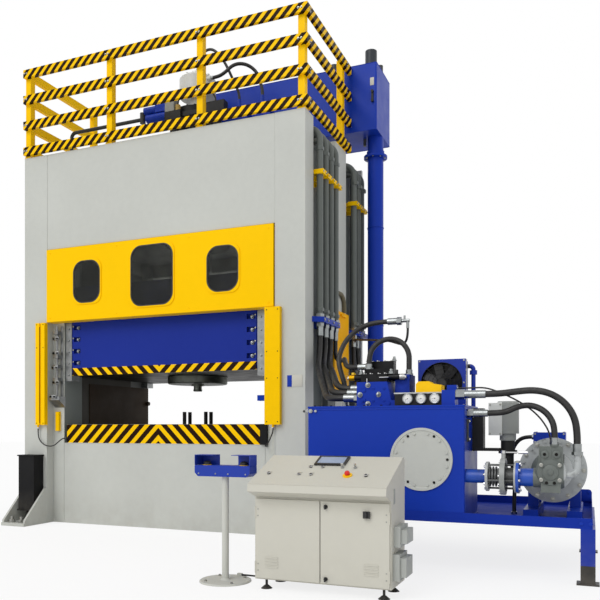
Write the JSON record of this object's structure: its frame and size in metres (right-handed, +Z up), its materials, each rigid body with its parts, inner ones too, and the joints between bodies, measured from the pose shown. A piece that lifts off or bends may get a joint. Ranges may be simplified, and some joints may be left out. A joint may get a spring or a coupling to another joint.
{
  "type": "hydraulic press",
  "caption": "Gantry hydraulic press with a guarded slide, a railed deck, an oil power unit on a tray, an operator's console and a two-hand stand.",
  "frame": {"origin": "on the floor, at the middle of the press frame's footprint", "axes": "+X to the operator's right along the machine's width, towards the power unit, +Y away from the operator, +Z up"},
  "size_m": [6.995, 5.051, 6.3382],
  "materials": {
    "frame_grey": "satin light grey paint",
    "machine_blue": "gloss blue paint",
    "safety_yellow": "gloss yellow paint",
    "hazard_paint": "yellow and black slanted stripes",
    "black_paint": "satin black paint",
    "black_steel": "blackened steel",
    "guide_steel": "ground steel",
    "steel": "zinc plated",
    "chrome": "polished",
    "pipe_paint": "dark grey paint",
    "hose_rubber": "matt",
    "dark_glass": "clear over a dark interior",
    "cast_grey": "painted casting",
    "console_cream": "satin cream paint",
    "black_plastic": "matt",
    "red_plastic": "gloss"
  },
  "bodies": {
    "press": {"upright_left": "frame_grey", "upright_right": "frame_grey", "bed": "frame_grey", "crown": "frame_grey", "foot_brackets": "frame_grey", "anchor_bolts": "steel", "dark_covers": "black_paint", "table": "hazard_paint", "cushion_cylinder": "black_paint", "guide_rails": "guide_steel", "main_cylinder": "black_paint", "cylinder_head": "frame_grey", "guard_panel": "safety_yellow", "window_panes": "dark_glass", "light_curtains": "safety_yellow", "railing_posts": "safety_yellow", "railing_rails": "hazard_paint", "top_tank": "machine_blue", "tank_fittings": "steel", "overflow_pipe": "machine_blue", "deck_valves": "black_paint", "riser_pipes": "pipe_paint", "pipe_clamps": "safety_yellow", "bulkhead_brackets": "machine_blue", "hydraulic_hoses": "hose_rubber", "control_cables": "hose_rubber", "hose_fittings": "chrome", "drip_tray": "machine_blue", "unit_legs": "machine_blue", "oil_tank": "machine_blue", "manhole_cover": "frame_grey", "valve_manifold": "machine_blue", "valve_stack": "black_paint", "gauge_panel": "black_paint", "cooler_housing": "machine_blue", "circulation_pump": "cast_grey", "suction_line": "machine_blue", "main_pump": "cast_grey", "drive_motor": "machine_blue", "console_cabinet": "console_cream", "console_controls": "black_plastic", "stand_post": "console_cream", "stand_head": "machine_blue"},
    "slide": {"slide": "machine_blue", "piston_rod": "chrome", "punch_adapter": "black_steel"},
    "cushion": {"cushion_plate": "black_steel", "cushion_pins": "black_steel"},
    "fan": {"cooler_fan": "black_plastic"},
    "coupling": {"drive_coupling": "steel"},
    "handle": {"butterfly_handle": "chrome"},
    "door_left": {"console_door_left": "console_cream"},
    "door_right": {"console_door_right": "console_cream"},
    "latch_upper": {"door_latch_upper": "black_plastic"},
    "latch_lower": {"door_latch_lower": "black_plastic"},
    "switch": {"main_switch": "black_plastic"},
    "stop": {"emergency_button": "red_plastic"},
    "palm_left": {"palm_button_left": "black_plastic"},
    "palm_right": {"palm_button_right": "black_plastic"}
  },
  "joints": [
    {"name": "slide_stroke", "type": "slide", "parent": "press", "child": "slide", "axis": [0, 0, 1], "range_m": [-0.35, 0.45]},
    {"name": "cushion_stroke", "type": "slide", "parent": "press", "child": "cushion", "axis": [0, 0, 1], "range_m": [-0.17, 0]},
    {"name": "fan_spin", "type": "hinge", "parent": "press", "child": "fan", "pos_m": [3.652, -1.77, 1.657], "axis": [0, -1, 0], "continuous": true},
    {"name": "coupling_spin", "type": "hinge", "parent": "press", "child": "coupling", "pos_m": [4.63, -1.87, 0.884], "axis": [0, 1, 0], "continuous": true},
    {"name": "butterfly_turn", "type": "hinge", "parent": "press", "child": "handle", "pos_m": [4.255, -2.24, 1.037], "axis": [0, 0, 1], "range_deg": [0, 90]},
    {"name": "door_left_swing", "type": "hinge", "parent": "press", "child": "door_left", "pos_m": [2.54, -3.4463, 0.4], "axis": [0, 0, -1], "range_deg": [0, 110]},
    {"name": "door_right_swing", "type": "hinge", "parent": "press", "child": "door_right", "pos_m": [3.6, -3.4463, 0.4], "axis": [0, 0, 1], "range_deg": [0, 110]},
    {"name": "latch_upper_turn", "type": "hinge", "parent": "door_right", "child": "latch_upper", "pos_m": [3.117, -3.4563, 0.66], "axis": [0, -1, 0], "range_deg": [0, 90]},
    {"name": "latch_lower_turn", "type": "hinge", "parent": "door_right", "child": "latch_lower", "pos_m": [3.117, -3.4563, 0.125], "axis": [0, -1, 0], "range_deg": [0, 90]},
    {"name": "main_switch_turn", "type": "hinge", "parent": "door_right", "child": "switch", "pos_m": [3.435, -3.4563, 0.616], "axis": [0, -1, 0], "range_deg": [0, 90]},
    {"name": "emergency_press", "type": "slide", "parent": "press", "child": "stop", "axis": [0, 0.3813, -0.9244], "range_m": [0, 0.0055]},
    {"name": "palm_left_press", "type": "slide", "parent": "press", "child": "palm_left", "axis": [0, 0, -1], "range_m": [0, 0.005], "stiffness_N_per_m": 2000, "springref_m": -0.002},
    {"name": "palm_right_press", "type": "slide", "parent": "press", "child": "palm_right", "axis": [0, 0, -1], "range_m": [0, 0.005], "stiffness_N_per_m": 2000, "springref_m": -0.002}
  ]
}
